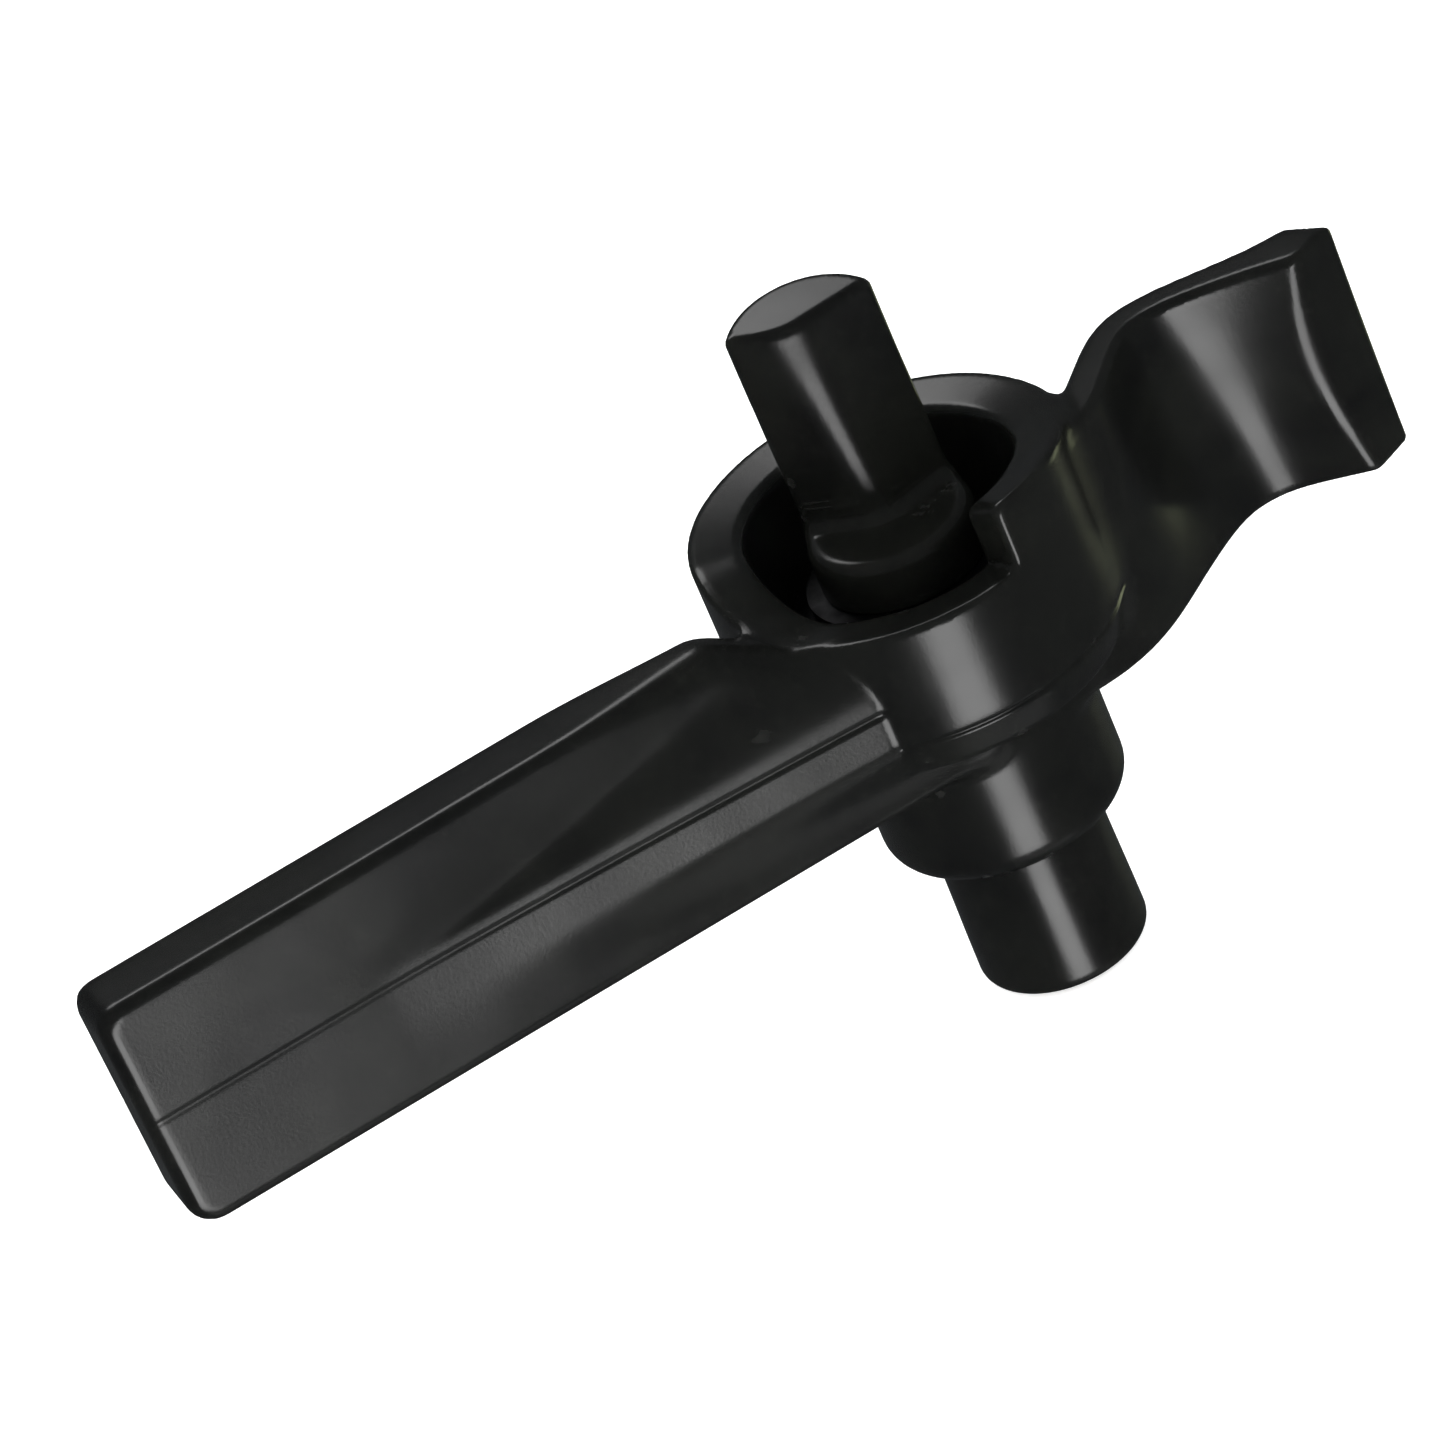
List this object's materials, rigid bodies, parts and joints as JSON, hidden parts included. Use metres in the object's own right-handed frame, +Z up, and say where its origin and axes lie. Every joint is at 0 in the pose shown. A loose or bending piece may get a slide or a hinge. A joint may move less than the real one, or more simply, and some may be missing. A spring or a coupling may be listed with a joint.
{
  "type": "cam wing nut",
  "caption": "Wing nut with a long flat wing and a short curved wing on a cupped hub, turning on a threaded spindle whose half-round tongue stands up out of the cup.",
  "frame": {"origin": "centre of the open end of the threaded insert, 0.2 mm below the end of the boss", "axes": "+Z up along the spindle, from the boss to the tongue; the long wing points along -X"},
  "size_m": [0.083, 0.0224, 0.0444],
  "materials": {
    "hub_plastic": "glossy moulded black plastic",
    "spindle_plastic": "glossy moulded black plastic",
    "insert_brass": "turned",
    "bush_plastic": "smooth self-lubricating plastic",
    "seal_rubber": "matt",
    "spring_steel": "phosphated",
    "washer_steel": "blackened"
  },
  "bodies": {
    "spindle": {"spindle": "spindle_plastic", "threaded_insert": "insert_brass", "retaining_rings": "spring_steel", "disc_spring": "spring_steel"},
    "hub": {"winged_hub": "hub_plastic", "neck_bush": "bush_plastic", "seal_ring": "seal_rubber", "thrust_washer": "washer_steel"}
  },
  "joints": [
    {"name": "wing_turn", "type": "hinge", "parent": "spindle", "child": "hub", "pos_m": [0, 0, 0.02], "axis": [0, 0, 1], "continuous": true}
  ]
}
